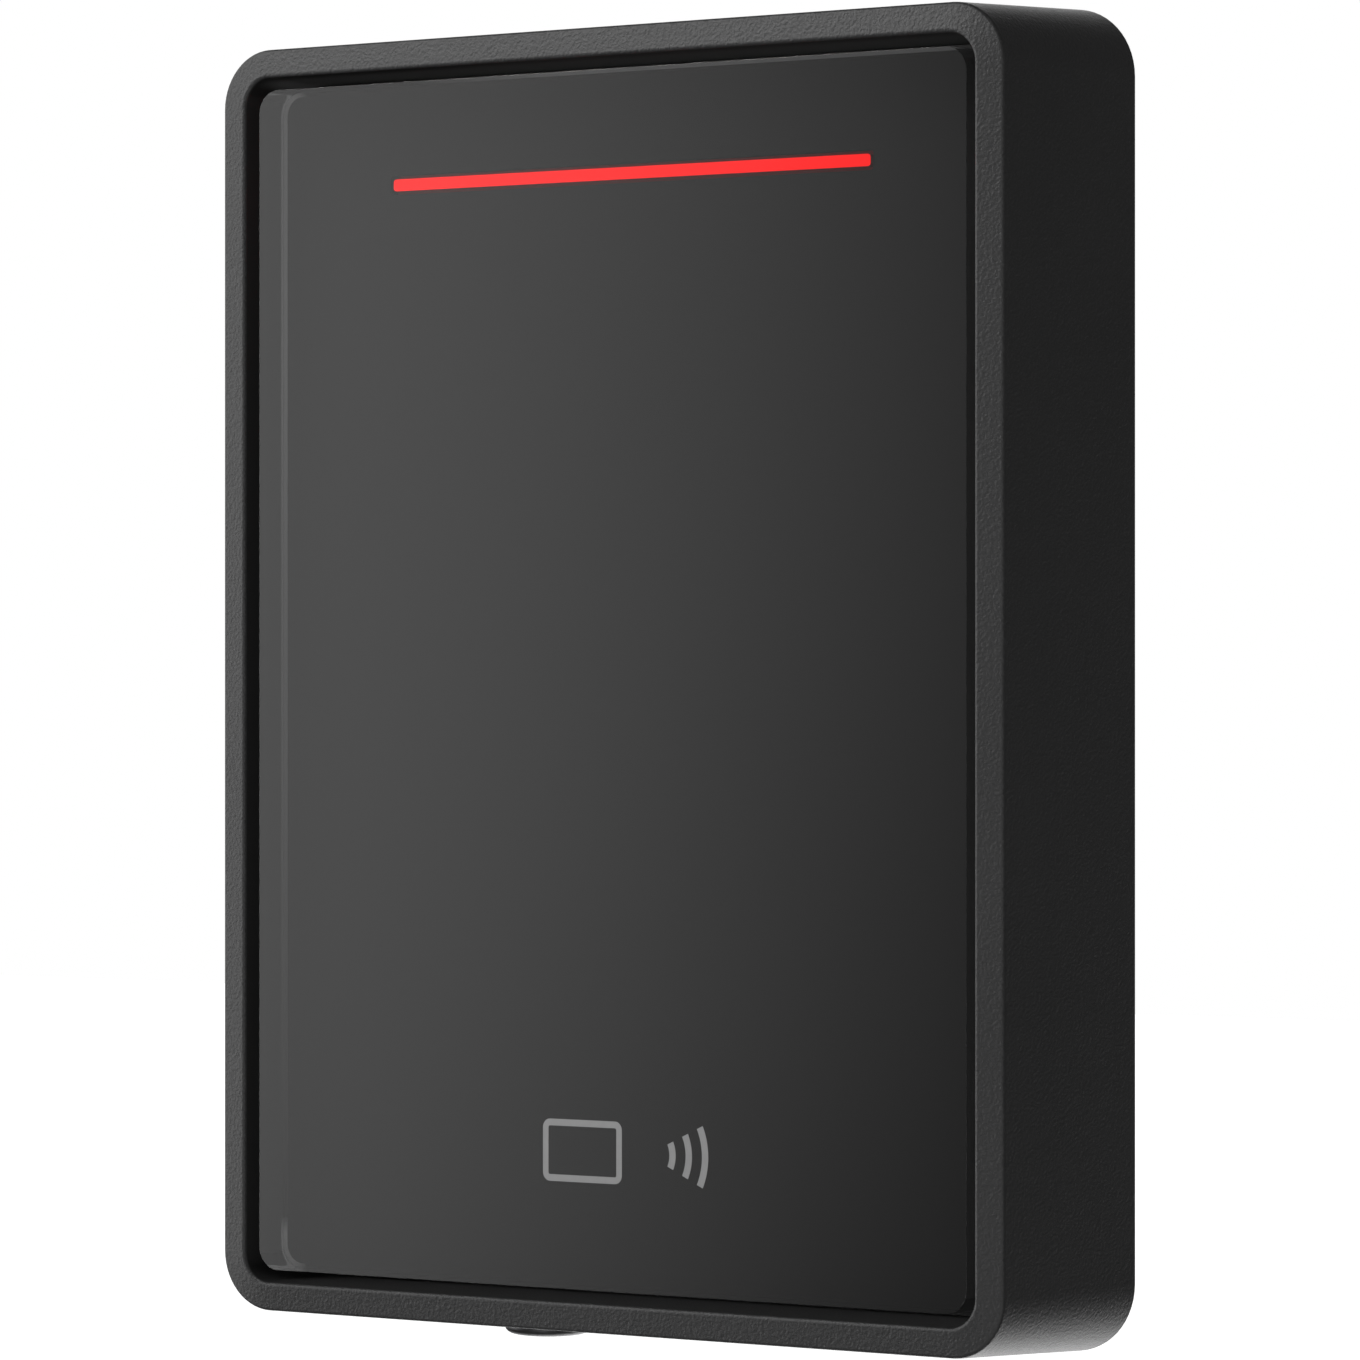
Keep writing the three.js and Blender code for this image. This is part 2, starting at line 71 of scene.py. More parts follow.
def add(nt, kind, **inputs):
    n = nt.nodes.new(kind)
    for k, v in inputs.items():
        if k in n.inputs:
            n.inputs[k].default_value = v
        else:
            setattr(n, k, v)
    return n


def coords(nt, scale=1.0):
    """The row frame's coordinates in millimetres, so that every pattern has a real size."""
    tc = add(nt, "ShaderNodeTexCoord")
    mp = add(nt, "ShaderNodeMapping")
    mp.inputs["Scale"].default_value = (1000 * scale,) * 3
    nt.links.new(tc.outputs["Object"], mp.inputs["Vector"])
    return mp.outputs["Vector"]


def noise(nt, vec, size_mm, detail=2.0, rough=0.5, distortion=0.0):
    n = add(nt, "ShaderNodeTexNoise")
    n.inputs["Scale"].default_value = 1.0 / size_mm
    n.inputs["Detail"].default_value = detail
    n.inputs["Roughness"].default_value = rough
    n.inputs["Distortion"].default_value = distortion
    nt.links.new(vec, n.inputs["Vector"])
    return n.outputs["Fac"]


def remap(nt, value, a, b, c, d, smooth=False):
    n = add(nt, "ShaderNodeMapRange")
    n.interpolation_type = "SMOOTHSTEP" if smooth else "LINEAR"
    for k, v in zip(("From Min", "From Max", "To Min", "To Max"), (a, b, c, d)):
        n.inputs[k].default_value = v
    nt.links.new(value, n.inputs["Value"])
    return n.outputs["Result"]


def mix_rgb(nt, fac, a, b):
    n = add(nt, "ShaderNodeMix")
    n.data_type = "RGBA"
    n.inputs[6].default_value = (*a, 1)
    n.inputs[7].default_value = (*b, 1)
    nt.links.new(fac, n.inputs[0])
    return n.outputs[2]


def math_node(nt, op, a, b=None):
    n = add(nt, "ShaderNodeMath")
    n.operation = op
    for i, v in enumerate((a, b)):
        if v is None:
            continue
        if isinstance(v, (int, float)):
            n.inputs[i].default_value = v
        else:
            nt.links.new(v, n.inputs[i])
    return n.outputs[0]


def bump(nt, height, strength, distance_mm, normal=None):
    n = add(nt, "ShaderNodeBump")
    n.inputs["Strength"].default_value = strength
    n.inputs["Distance"].default_value = distance_mm * MM
    nt.links.new(height, n.inputs["Height"])
    if normal is not None:
        nt.links.new(normal, n.inputs["Normal"])
    return n.outputs["Normal"]


def principled(nt, out, **kw):
    p = add(nt, "ShaderNodeBsdfPrincipled")
    for k, v in kw.items():
        k = k.replace("_", " ")
        if hasattr(v, "links") or isinstance(v, bpy.types.NodeSocket):
            nt.links.new(v, p.inputs[k])
        else:
            p.inputs[k].default_value = v
    nt.links.new(p.outputs[0], out.inputs["Surface"])
    return p


# ------------------------------------------------------------------ materials


def grained_plastic(name, dark, light, rough=(0.42, 0.56), grain=0.30, strength=0.5, depth=0.02, specular=0.5):
    """Moulded plastic from a spark-eroded tool: rounded pits of about a third of a millimetre with a finer tooth between them."""
    m, nt, out = new_material(name)
    v = coords(nt)
    coarse = noise(nt, v, grain, 1.5, 0.55, 0.3)
    fine = noise(nt, v, grain * 0.38, 2.0, 0.6)
    cells = add(nt, "ShaderNodeTexVoronoi")
    cells.feature = "SMOOTH_F1"
    cells.inputs["Scale"].default_value = 1.0 / (grain * 1.25)
    cells.inputs["Smoothness"].default_value = 0.6
    nt.links.new(v, cells.inputs["Vector"])
    h = math_node(nt, "MULTIPLY", coarse, 1.0)
    h = math_node(nt, "ADD", h, math_node(nt, "MULTIPLY", cells.outputs["Distance"], 0.55))
    h = math_node(nt, "ADD", h, math_node(nt, "MULTIPLY", fine, 0.28))
    broad = noise(nt, v, 22.0, 3.0)
    tone = math_node(nt, "ADD", math_node(nt, "MULTIPLY", coarse, 0.5), math_node(nt, "MULTIPLY", broad, 0.5))
    principled(
        nt, out,
        Base_Color=mix_rgb(nt, remap(nt, tone, 0.35, 0.65, 0, 1), dark, light),
        Roughness=remap(nt, fine, 0.3, 0.7, *rough),
        Specular_IOR_Level=specular,
        Normal=bump(nt, h, strength, depth),
    )
    return m


def plain_plastic(name, dark, light, rough=(0.35, 0.5), size=1.2, strength=0.25, depth=0.012, specular=0.5):
    m, nt, out = new_material(name)
    v = coords(nt)
    f = noise(nt, v, size, 3.0)
    g = noise(nt, v, 0.22, 2.0)
    principled(
        nt, out,
        Base_Color=mix_rgb(nt, remap(nt, f, 0.3, 0.7, 0, 1), dark, light),
        Roughness=remap(nt, g, 0.3, 0.7, *rough),
        Specular_IOR_Level=specular,
        Normal=bump(nt, g, strength, depth),
    )
    return m


def metal(name, dark, light, rough=(0.22, 0.38), turned=False):
    m, nt, out = new_material(name)
    v = coords(nt)
    f = noise(nt, v, 0.6, 3.0)
    w = noise(nt, v, 0.08 if turned else 0.18, 2.0)
    principled(
        nt, out,
        Base_Color=mix_rgb(nt, remap(nt, f, 0.3, 0.7, 0, 1), dark, light),
        Metallic=1.0,
        Roughness=remap(nt, w, 0.3, 0.7, *rough),
        Normal=bump(nt, w, 0.15, 0.01),
    )
    return m


def board_material(name):
    """Green solder resist with tracks that show through as slightly lighter lines and a scatter of vias."""
    m, nt, out = new_material(name)
    v = coords(nt)
    br = add(nt, "ShaderNodeTexBrick")
    br.offset = 0.37
    br.inputs["Scale"].default_value = 0.28
    br.inputs["Mortar Size"].default_value = 0.035
    br.inputs["Mortar Smooth"].default_value = 0.1
    br.inputs["Color1"].default_value = (0, 0, 0, 1)
    br.inputs["Color2"].default_value = (0.12, 0.12, 0.12, 1)
    br.inputs["Mortar"].default_value = (1, 1, 1, 1)
    rot = add(nt, "ShaderNodeMapping")
    rot.inputs["Rotation"].default_value = (math.pi / 2, 0, 0)
    nt.links.new(v, rot.inputs["Vector"])
    nt.links.new(rot.outputs["Vector"], br.inputs["Vector"])
    vo = add(nt, "ShaderNodeTexVoronoi")
    vo.inputs["Scale"].default_value = 0.22
    nt.links.new(v, vo.inputs["Vector"])
    via = remap(nt, vo.outputs["Distance"], 0.06, 0.09, 1, 0)
    tracks = add(nt, "ShaderNodeRGBToBW")
    nt.links.new(br.outputs["Color"], tracks.inputs[0])
    fac = math_node(nt, "MAXIMUM", math_node(nt, "MULTIPLY", tracks.outputs[0], 0.8), via)
    principled(
        nt, out,
        Base_Color=mix_rgb(nt, fac, (0.006, 0.045, 0.018), (0.03, 0.14, 0.06)),
        Roughness=remap(nt, noise(nt, v, 0.3, 2.0), 0.3, 0.7, 0.25, 0.4),
        Normal=bump(nt, fac, 0.4, 0.03),
    )
    return m


def glass_block(name, tint, transmission=1.0, rough=0.012):
    """Polished acrylic with a light smoke tint that varies a little through the block."""
    m, nt, out = new_material(name)
    w = noise(nt, coords(nt), 60.0, 1.0)
    principled(
        nt, out,
        Base_Color=mix_rgb(nt, w, tuple(0.99 * t for t in tint), tuple(1.01 * t for t in tint)),
        Roughness=rough,
        IOR=1.49,
        Transmission_Weight=transmission,
    )
    return m


def top_wall_painted_highlight(name):
    """The block's upper wall: rough instead of polished, with a painted highlight in its colour that is black on the
    left and grows paler toward the right.
    """
    m, nt, out = new_material(name)
    sep = add(nt, "ShaderNodeSeparateXYZ")
    nt.links.new(coords(nt), sep.inputs[0])
    x = sep.outputs[0]
    # painted highlight: the strip's colour is black on the left and paler toward the right
    tone = math_node(nt, "ADD", remap(nt, x, -23, -7, 0.0, 0.31), remap(nt, x, -7, 36, 0.0, 0.03))
    principled(nt, out, Base_Color=mix_rgb(nt, tone, (0, 0, 0), (1, 1, 1)), Roughness=0.6, Specular_IOR_Level=0.0)
    return m


def back_edge_painted_highlight(name):
    """The block's rounded back edge, with a painted highlight in its colour: pale on the left, brighter toward the top,
    with a painted glint at the lower left corner, and near-black elsewhere.
    """
    m, nt, out = new_material(name)
    sep = add(nt, "ShaderNodeSeparateXYZ")
    nt.links.new(coords(nt), sep.inputs[0])
    x, z = sep.outputs[0], sep.outputs[2]
    # painted highlight: paler toward the top, as if lit from above, plus a painted glint at the lower left corner; only
    # the left side keeps it
    tone = remap(nt, z, -48, 30, 0.012, 0.25)
    tone = math_node(nt, "ADD", tone, remap(nt, z, -50.5, -52, 0.0, 0.38))
    tone = math_node(nt, "MULTIPLY", tone, remap(nt, x, -36.8, -38.2, 0.0, 1.0))
    principled(nt, out, Base_Color=mix_rgb(nt, tone, (0.012, 0.012, 0.012), (0.90, 0.90, 0.90)), Roughness=0.5, Specular_IOR_Level=0.0)
    return m


def recess_painted_shade_and_light(name):
    """Satin wall round the cover, a little darker than the housing as painted shade, with painted light that makes it
    paler on the left and deep in the upper gap.
    """
    m, nt, out = new_material(name)
    v = coords(nt)
    sep = add(nt, "ShaderNodeSeparateXYZ")
    nt.links.new(v, sep.inputs[0])
    # painted light deep in the upper gap and on the left wall; the dark base colour below is painted shade
    deep = math_node(nt, "MULTIPLY", remap(nt, sep.outputs[1], -22.0, -19.0, 0.0, 1.0), remap(nt, sep.outputs[2], 55.4, 56.0, 0.0, 1.0))
    tone = math_node(nt, "ADD", math_node(nt, "MULTIPLY", deep, 0.50), math_node(nt, "MULTIPLY", noise(nt, v, 1.2, 3.0), 0.03))
    tone = math_node(nt, "ADD", tone, remap(nt, sep.outputs[0], -40.3, -40.6, 0.0, 0.09))
    g = noise(nt, v, 0.22, 2.0)
    principled(
        nt, out,
        Base_Color=mix_rgb(nt, tone, (0.018, 0.018, 0.018), (0.20, 0.20, 0.20)),
        Roughness=remap(nt, g, 0.3, 0.7, 0.45, 0.55),
        Normal=bump(nt, g, 0.1, 0.01),
    )
    return m


def light_bar(name):
    """Diffusing red acrylic lit from six lamps behind it, so it is a little stronger over each."""
    m, nt, out = new_material(name)
    v = coords(nt)
    sep = add(nt, "ShaderNodeSeparateXYZ")
    nt.links.new(v, sep.inputs[0])
    wave = math_node(nt, "COSINE", math_node(nt, "MULTIPLY", math_node(nt, "ADD", sep.outputs[0], 4.5), 2 * math.pi / 9.0))
    s = remap(nt, wave, -1, 1, 1.36, 1.46)
    s = math_node(nt, "MULTIPLY", s, remap(nt, sep.outputs[0], -27, 27, 1.08, 0.94))
    # only the front face glows, not the flange behind it
    s = math_node(nt, "MULTIPLY", s, remap(nt, sep.outputs[1], -14.7, -14.8, 0.0, 1.0))
    principled(
        nt, out,
        Base_Color=(0.22, 0.003, 0.003, 1),
        Roughness=0.35,
        Specular_IOR_Level=0.0,
        Emission_Color=(1.0, 0.0015, 0.0015, 1),
        Emission_Strength=s,
    )
    return m


M = {}
M["housing"] = grained_plastic("housing_black_grain", (0.0230, 0.0230, 0.0235), (0.0295, 0.0295, 0.0300), grain=0.27, strength=1.0, depth=0.055)
M["recess"] = recess_painted_shade_and_light("housing_recess_painted_shade_and_light")
M["mask"] = plain_plastic("mask_black", (0.0130, 0.0130, 0.0130), (0.0136, 0.0136, 0.0136), (0.55, 0.60), 30.0, 0.0, 0.01, 0.0)
M["print"] = plain_plastic("print_grey", (0.45, 0.45, 0.45), (0.48, 0.48, 0.48), (0.45, 0.55), 0.8, 0.05, 0.01, 0.0)
M["lens"] = glass_block("cover_smoke_acrylic", (0.50, 0.50, 0.505))
M["lens_side"] = glass_block("cover_side_wall", (0.8, 0.8, 0.8), 0.93, 0.03)
M["lens_back"], _nt, _out = new_material("cover_bonded_back")
principled(_nt, _out, Base_Color=(1, 1, 1, 1), Alpha=0.0)
# the cover's back edge carries a painted highlight in its colour
M["lens_edge"] = back_edge_painted_highlight("cover_edge_painted_highlight")
# the cover's upper wall carries a painted highlight strip in its colour
M["lens_top"] = top_wall_painted_highlight("cover_top_wall")
M["bar"] = light_bar("light_bar_red")
M["rubber"] = plain_plastic("seal_black_rubber", (0.010, 0.010, 0.010), (0.016, 0.016, 0.016), (0.65, 0.85), 0.8, 0.3, 0.02)
M["pcb"] = board_material("board_green")
M["copper"] = metal("copper_track", (0.62, 0.30, 0.16), (0.78, 0.42, 0.24))
M["ferrite"] = plain_plastic("ferrite_dark", (0.035, 0.035, 0.04), (0.06, 0.06, 0.065), (0.45, 0.65), 0.5, 0.3, 0.02)
M["led"] = plain_plastic("led_package_white", (0.62, 0.60, 0.54), (0.72, 0.70, 0.64), (0.25, 0.35))
M["tin"] = metal("tinned_steel", (0.50, 0.51, 0.53), (0.64, 0.65, 0.66))
M["chip"] = plain_plastic("chip_epoxy", (0.010, 0.010, 0.011), (0.017, 0.017, 0.018), (0.45, 0.6), 0.4, 0.3, 0.01)
M["cover"] = grained_plastic("rear_cover_black", (0.016, 0.016, 0.017), (0.024, 0.024, 0.025), (0.45, 0.6), 0.22, 0.35, 0.012)
M["plate"] = grained_plastic("wall_plate_black", (0.020, 0.020, 0.021), (0.030, 0.030, 0.031), (0.45, 0.6), 0.26, 0.4, 0.014)
M["zinc"] = metal("zinc_plated_steel", (0.42, 0.43, 0.45), (0.58, 0.58, 0.58), (0.25, 0.42))
M["blacksteel"] = metal("black_oxide_steel", (0.060, 0.060, 0.062), (0.090, 0.090, 0.093), (0.38, 0.52))
M["brass"] = metal("turned_brass", (0.55, 0.38, 0.13), (0.70, 0.52, 0.22), turned=True)
M["terminal"] = plain_plastic("terminal_green", (0.015, 0.10, 0.035), (0.025, 0.14, 0.05), (0.3, 0.45))
M["button"] = plain_plastic("button_orange", (0.62, 0.13, 0.01), (0.72, 0.18, 0.015), (0.3, 0.45), 0.6)
M["vent"] = plain_plastic("vent_white", (0.62, 0.62, 0.60), (0.74, 0.74, 0.72), (0.7, 0.9), 0.15, 0.5, 0.02)
M["plunger"] = plain_plastic("plunger_acetal", (0.60, 0.58, 0.52), (0.70, 0.68, 0.62), (0.3, 0.45), 0.8)

NODE_MATERIAL = {
    "wall_plate": "plate", "thread_insert": "brass", "screw_washer": "zinc", "locking_screw": "blacksteel",
    "front_housing": "housing", "window_lens": "lens", "mask_plate": "mask", "light_guide": "bar",
    "lens_seal": "rubber", "antenna_coil": "copper", "antenna_board": "pcb", "ferrite_sheet": "ferrite",
    "antenna_header": "chip", "main_board": "pcb", "shield_can": "tin", "controller_chip": "chip",
    "power_inductor": "ferrite", "buzzer": "chip", "tamper_switch": "tin", "cover_gasket": "rubber",
    "rear_cover": "cover", "vent_membrane": "vent", "terminal_seal": "rubber", "terminal_block": "terminal",
    "tamper_plunger": "plunger", "tamper_spring": "zinc",
}
for i in range(1, 5):
    NODE_MATERIAL[f"board_screw_{i}"] = NODE_MATERIAL[f"cover_screw_{i}"] = "zinc"
for i in range(1, 7):
    NODE_MATERIAL[f"led_{i}"] = "led"
for i in range(1, 9):
    NODE_MATERIAL[f"terminal_button_{i}"] = "button"


def give(obj, material):
    if not obj.material_slots:
        obj.data.materials.append(material)
    for s in obj.material_slots:
        s.material = material


for node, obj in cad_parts.items():
    give(obj, M[NODE_MATERIAL[node]])
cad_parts["light_guide"].visible_diffuse = False


# ------------------------------------------------------------------ mesh help


def ring(x0, x1, z0, z1, r, y, n=14):
    """A rounded rectangle at depth y, as points in one fixed order."""
    pts = []
    for cx, cz, a0 in ((x1 - r, z1 - r, 0), (x0 + r, z1 - r, 90), (x0 + r, z0 + r, 180), (x1 - r, z0 + r, 270)):
        for k in range(n + 1):
            a = math.radians(a0 + 90 * k / n)
            pts.append((cx + r * math.cos(a), y, cz + r * math.sin(a)))
    return pts


def inset(shape, d):
    hx, hz, r = shape
    return (-hx + d, hx - d, -hz + d, hz - d, max(r - d, 0.05))


def loft(rings, close=False, caps=True):
    bm = bmesh.new()
    rows = [[bm.verts.new((x * MM, y * MM, z * MM)) for x, y, z in r] for r in rings]
    n = len(rows[0])
    pairs = list(zip(rows, rows[1:])) + ([(rows[-1], rows[0])] if close else [])
    for a, b in pairs:
        for i in range(n):
            j = (i + 1) % n
            bm.faces.new((a[i], a[j], b[j], b[i]))
    if caps and not close:
        bm.faces.new(list(reversed(rows[0])))
        bm.faces.new(rows[-1])
    bmesh.ops.recalc_face_normals(bm, faces=bm.faces)
    return bm


def to_object(bm, name, material=None, smooth=30.0):
    me = bpy.data.meshes.new(name)
    bm.to_mesh(me)
    bm.free()
    ob = bpy.data.objects.new(name, me)
    scene.collection.objects.link(ob)
    if material:
        me.materials.append(material)
    finish_shading(ob, smooth)
    return ob


def finish_shading(ob, smooth=30.0):
    me = ob.data
    for p in me.polygons:
        p.use_smooth = True
    if smooth:
        me.set_sharp_from_angle(angle=math.radians(smooth))


def weighted(ob):
    w = ob.modifiers.new("even_normals", "WEIGHTED_NORMAL")
    w.keep_sharp = True
    w.weight = 100


def apply_booleans(ob, steps, smooth=30.0):
    """steps: (operation, tool) pairs, applied in order; the tools are removed."""
    for k, (op, tool) in enumerate(steps):
        b = ob.modifiers.new(f"b{k}", "BOOLEAN")
        b.operation = op
        b.solver = "EXACT"
        b.object = tool
    dg = bpy.context.evaluated_depsgraph_get()
    me = bpy.data.meshes.new_from_object(ob.evaluated_get(dg))
    mats = list(ob.data.materials)
    ob.modifiers.clear()
    ob.data = me
    me.materials.clear()
    for m in mats:
        me.materials.append(m)
    for p in me.polygons:
        p.material_index = 0
    for _, tool in steps:
        bpy.data.objects.remove(tool, do_unlink=True)
    finish_shading(ob, smooth)
    return ob


def box_bm(x0, x1, y0, y1, z0, z1, r=0.0, n=6):
    r = max(r, 0.02)
    return loft([ring(x0, x1, z0, z1, r, y0, n), ring(x0, x1, z0, z1, r, y1, n)])


def cyl_bm(centre, radius, a, b, axis="Y", n=32):
    """A round bar from a to b along Y or Z; centre is (x, z) or (x, y)."""
    bm = bmesh.new()
    rows = []
    for t in (a, b):
        row = []
        for k in range(n):
            c, s = radius * math.cos(2 * math.pi * k / n), radius * math.sin(2 * math.pi * k / n)
            p = (centre[0] + c, t, centre[1] + s) if axis == "Y" else (centre[0] + c, centre[1] + s, t)
            row.append(bm.verts.new(Vector(p) * MM))
        rows.append(row)
    for i in range(n):
        j = (i + 1) % n
        bm.faces.new((rows[0][i], rows[0][j], rows[1][j], rows[1][i]))
    bm.faces.new(list(reversed(rows[0])))
    bm.faces.new(rows[1])
    bmesh.ops.recalc_face_normals(bm, faces=bm.faces)
    return bm


def tool(bm):
    return to_object(bm, "tool", None, 0)


# -------------------------------------------------------------------- housing


def make_housing():
    outer = (W / 2, H / 2, R)
    rings = [ring(*inset(outer, 0.2 - DRAFT), REAR), ring(*inset(outer, 0.01 - DRAFT), REAR - 0.2)]
    # drafted side, then the rounded outer edge of the rim
    for k in range(9):
        a = math.pi / 2 + (SLOPE - math.pi / 2) * k / 8
        rings.append(ring(*inset(outer, EDGE_R * (1 - math.sin(a))), FRONT + EDGE_R * (1 - math.cos(a))))
    # the rim rises to its inner edge, which is rounded into the recess
    r = INNER_R
    run = W / 2 - RECESS[0] - r - EDGE_R * (1 - math.sin(SLOPE))
    yc = FRONT + EDGE_R * (1 - math.cos(SLOPE)) - run * math.tan(SLOPE) + r / math.cos(SLOPE)
    for k in range(9):
        b = -SLOPE + (math.pi / 2 + SLOPE) * k / 8
        rings.append(ring(*inset(RECESS, -r * (1 - math.sin(b))), yc - r * math.cos(b)))
    rings.append(ring(*inset(RECESS, 0.0), -12.0))
    rings.append(ring(-33, 33, -46, 49, 2.0, -12.0))
    rings.append(ring(-33, 33, -46, 49, 2.0, -10.8))
    rings.append(ring(-39.9, 39.9, -47.2, 55.4, 2.0, -10.8))
    rings.append(ring(-39.9, 39.9, -47.2, 55.4, 2.0, -7.5))
    rings.append(ring(-41.3, 41.3, -48.6, 56.8, 2.9, -7.5))
    rings.append(ring(-41.3, 41.3, -48.6, 56.8, 2.9, -5.3))
    rings.append(ring(-41.3, 41.3, -56.8, 56.8, 3.2, -5.3))
    rings.append(ring(-41.3, 41.3, -56.8, 56.8, 3.2, REAR - 0.1))
    rings.append(ring(-41.4, 41.4, -56.9, 56.9, 3.3, REAR))
    ob = to_object(loft(rings, close=True), "reader_housing", M["housing"])
    steps = [("DIFFERENCE", tool(box_bm(-41.3, 41.3, -10.8, 0.0, -56.8, -50.0, 2.5)))]
    for sx in (-1, 1):
        for z in (51.9, -43.6):
            steps.append(("UNION", tool(cyl_bm((sx * 36.6, z), 2.8, -11.3, -6.9))))
    steps.append(("UNION", tool(box_bm(-33, 33, -3.6, -2.4, 54.9, 57.1, 0.2))))
    for sx in (-1, 1):
        for z in (51.9, -43.6):
            steps.append(("DIFFERENCE", tool(cyl_bm((sx * 36.6, z), 1.1, -10.9, -6.0, n=20))))
        for z in (36, -30):
            steps.append(("DIFFERENCE", tool(cyl_bm((sx * 35.6, z), 1.1, -13.0, -9.8, n=20))))
    for r, z0, z1 in ((1.7, -62, -55), (4.7, -62, -58)):
        bm = bmesh.new()
        pts = [(LOCK[0] + r, 5)] + [(LOCK[0] + r * math.cos(a), LOCK[1] + r * math.sin(a)) for a in [-math.pi * k / 24 for k in range(25)]] + [(LOCK[0] - r, 5)]
        rows = [[bm.verts.new(Vector((x, y, z)) * MM) for x, y in pts] for z in (z0, z1)]
        for i in range(len(pts)):
            j = (i + 1) % len(pts)
            bm.faces.new((rows[0][i], rows[0][j], rows[1][j], rows[1][i]))
        bm.faces.new(rows[0])
        bm.faces.new(rows[1])
        bmesh.ops.recalc_face_normals(bm, faces=bm.faces)
        steps.append(("DIFFERENCE", tool(bm)))
    apply_booleans(ob, steps)
    # the recess walls take the material with painted shade and painted light in its colour
    ob.data.materials.append(M["recess"])
    for p in ob.data.polygons:
        c = p.center * 1000
        if abs(c.x) < RECESS[0] + 0.02 and abs(c.z) < RECESS[1] + 0.02 and -22.3 < c.y < -11.9:
            p.material_index = 1
    weighted(ob)
    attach(ob, "reader")
    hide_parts("front_housing")
    return ob


housing = make_housing()


# ---------------------------------------------------------------- clear cover


def make_lens():
    y0, y1 = LENS_Y
    rings = []
    for k in range(5):
        a = math.pi / 2 * k / 4
        rings.append(ring(*inset(LENS, 0.05 * (1 - math.sin(a))), y0 + 0.05 * (1 - math.cos(a))))
    r = LENS_BACK_R
    for k in range(9):
        a = math.pi / 2 * k / 8
        rings.append(ring(*inset(LENS, r * (1 - math.cos(a))), y1 - r * (1 - math.sin(a))))
    ob = to_object(loft(rings), "clear_cover", M["lens"], 50.0)
    ob.data.materials.append(M["lens_edge"])
    ob.data.materials.append(M["lens_side"])
    ob.data.materials.append(M["lens_back"])
    ob.data.materials.append(M["lens_top"])
    # the back edge and the upper wall take the materials with painted highlights in their colour
    for p in ob.data.polygons:
        if p.center.y > (y1 - r) * MM and p.area < 1e-4:
            p.material_index = 1
        elif abs(p.normal.y) < 0.05:
            p.material_index = 4 if p.normal.z > 0.9 else 0 if p.normal.z < -0.3 else 2
        elif p.normal.y > 0.9:
            p.material_index = 3
    weighted(ob)
    # light reaches the print through the block as if it weren't there
    ob.visible_shadow = False
    ob.visible_diffuse = False
    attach(ob, "reader")
    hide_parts("window_lens")
    return ob


make_lens()


def make_symbol():
    """A plain contactless sign printed on the mask: a card outline and three arcs."""
    bm = bmesh.new()
    y0, y1 = MASK_FRONT - 0.045, MASK_FRONT - 0.015

    def strip(inner, outer):
        rows = [[bm.verts.new(Vector((x, y, z)) * MM) for x, z in pts] for pts, y in ((outer, y0), (inner, y0), (inner, y1), (outer, y1))]
        n = len(outer)
        closed = strip.closed
        for a, b in zip(rows, rows[1:] + rows[:1]):
            for i in range(n if closed else n - 1):
                j = (i + 1) % n
                bm.faces.new((a[i], a[j], b[j], b[i]))
        if not closed:
            bm.faces.new([r[0] for r in rows])
            bm.faces.new([r[-1] for r in reversed(rows)])

    def card(cx, cz, w, h, r, t):
        strip.closed = True
        o = [(x, z) for x, _, z in ring(cx - w / 2, cx + w / 2, cz - h / 2, cz + h / 2, r, 0, 8)]
        i = [(x, z) for x, _, z in ring(cx - w / 2 + t, cx + w / 2 - t, cz - h / 2 + t, cz + h / 2 - t, max(r - t, 0.1), 0, 8)]
        strip(i, o)

    def arc(cx, cz, r, t, a0, a1):
        strip.closed = False
        n = 24
        an = [math.radians(a0 + (a1 - a0) * k / n) for k in range(n + 1)]
        strip([(cx + (r - t / 2) * math.cos(a), cz + (r - t / 2) * math.sin(a)) for a in an],
              [(cx + (r + t / 2) * math.cos(a), cz + (r + t / 2) * math.sin(a)) for a in an])

    card(-4.9, -42.96, 8.9, 5.7, 0.8, 0.62)
    for r in (2.7, 4.5, 6.3):
        arc(2.5, -42.96, r, 0.7, -25, 25)
    bmesh.ops.recalc_face_normals(bm, faces=bm.faces)
    ob = to_object(bm, "printed_symbol", M["print"], 30)
    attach(ob, "reader")
    return ob


make_symbol()


# -------------------------------------------------------------- locking screw


